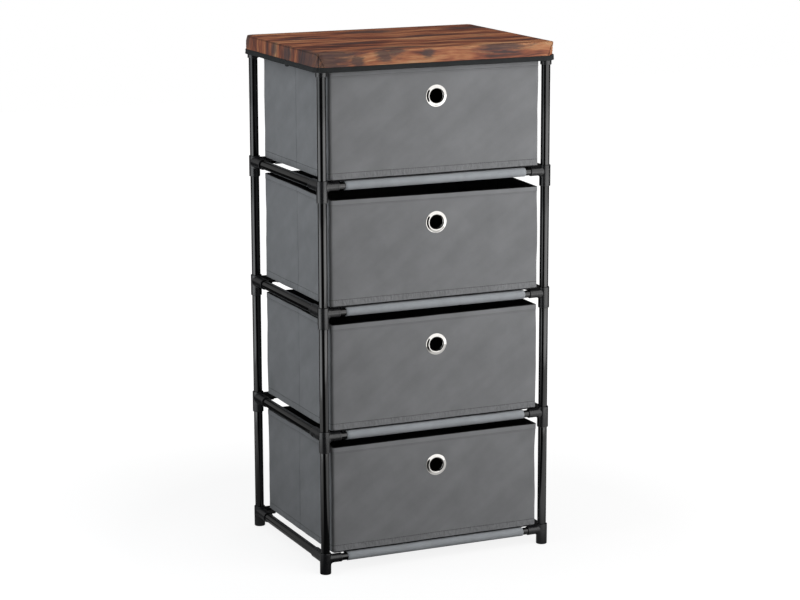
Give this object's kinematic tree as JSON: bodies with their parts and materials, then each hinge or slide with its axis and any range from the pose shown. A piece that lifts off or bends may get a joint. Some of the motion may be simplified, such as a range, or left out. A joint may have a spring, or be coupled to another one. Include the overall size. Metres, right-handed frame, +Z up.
{
  "type": "fabric drawer dresser",
  "caption": "Tall narrow dresser: black tube frame with plastic corner connectors, pull-out grey fabric box drawers with metal eyelets, and a wood-print fabric top.",
  "frame": {"origin": "on the floor, in the middle between the four posts", "axes": "+Z up, +X to the right seen from the front, -Y towards the user, the way the drawers pull out"},
  "size_m": [0.459, 0.351, 0.924],
  "materials": {
    "post_tube": "glossy black paint on steel tube",
    "rail_tube": "glossy black paint on steel tube",
    "connector": "satin black moulded plastic",
    "shelf_fabric": "light grey non-woven fabric",
    "drawer_fabric": "grey non-woven fabric",
    "lining_fabric": "black non-woven fabric",
    "base_board": "board wrapped in black non-woven fabric",
    "stiffener_board": "plain grey-brown board",
    "eyelet_metal": "bright nickel plate",
    "top_board": "raw fibreboard",
    "cover_fabric": "smooth fabric printed with a rustic wood grain",
    "binding": "black woven binding tape"
  },
  "bodies": {
    "frame": {"connectors_level_1": "connector", "connectors_level_2": "connector", "connectors_level_3": "connector", "foot_connectors": "connector", "front_rail_1": "rail_tube", "front_rail_2": "rail_tube", "front_rail_3": "rail_tube", "front_rail_4": "rail_tube", "front_rail_5": "rail_tube", "left_side_rails": "rail_tube", "post_tubes_tier_1": "post_tube", "post_tubes_tier_2": "post_tube", "post_tubes_tier_3": "post_tube", "post_tubes_tier_4": "post_tube", "rear_rail_1": "rail_tube", "rear_rail_2": "rail_tube", "rear_rail_3": "rail_tube", "rear_rail_4": "rail_tube", "rear_rail_5": "rail_tube", "right_side_rails": "rail_tube", "shelf_1": "shelf_fabric", "shelf_2": "shelf_fabric", "shelf_3": "shelf_fabric", "shelf_4": "shelf_fabric", "top_binding": "binding", "top_board": "top_board", "top_connectors": "connector", "top_cover": "cover_fabric"},
    "drawer_1": {"drawer_1_base_board": "base_board", "drawer_1_eyelet": "eyelet_metal", "drawer_1_eyelet_washer": "eyelet_metal", "drawer_1_front_board": "stiffener_board", "drawer_1_lining": "lining_fabric", "drawer_1_outer": "drawer_fabric", "drawer_1_rear_board": "stiffener_board", "drawer_1_side_boards": "stiffener_board"},
    "drawer_2": {"drawer_2_base_board": "base_board", "drawer_2_eyelet": "eyelet_metal", "drawer_2_eyelet_washer": "eyelet_metal", "drawer_2_front_board": "stiffener_board", "drawer_2_lining": "lining_fabric", "drawer_2_outer": "drawer_fabric", "drawer_2_rear_board": "stiffener_board", "drawer_2_side_boards": "stiffener_board"},
    "drawer_3": {"drawer_3_base_board": "base_board", "drawer_3_eyelet": "eyelet_metal", "drawer_3_eyelet_washer": "eyelet_metal", "drawer_3_front_board": "stiffener_board", "drawer_3_lining": "lining_fabric", "drawer_3_outer": "drawer_fabric", "drawer_3_rear_board": "stiffener_board", "drawer_3_side_boards": "stiffener_board"},
    "drawer_4": {"drawer_4_base_board": "base_board", "drawer_4_eyelet": "eyelet_metal", "drawer_4_eyelet_washer": "eyelet_metal", "drawer_4_front_board": "stiffener_board", "drawer_4_lining": "lining_fabric", "drawer_4_outer": "drawer_fabric", "drawer_4_rear_board": "stiffener_board", "drawer_4_side_boards": "stiffener_board"}
  },
  "joints": [
    {"name": "drawer_1_slide", "type": "slide", "parent": "frame", "child": "drawer_1", "axis": [0, -1, 0], "range_m": [0, 0.33]},
    {"name": "drawer_2_slide", "type": "slide", "parent": "frame", "child": "drawer_2", "axis": [0, -1, 0], "range_m": [0, 0.33]},
    {"name": "drawer_3_slide", "type": "slide", "parent": "frame", "child": "drawer_3", "axis": [0, -1, 0], "range_m": [0, 0.33]},
    {"name": "drawer_4_slide", "type": "slide", "parent": "frame", "child": "drawer_4", "axis": [0, -1, 0], "range_m": [0, 0.33]}
  ]
}
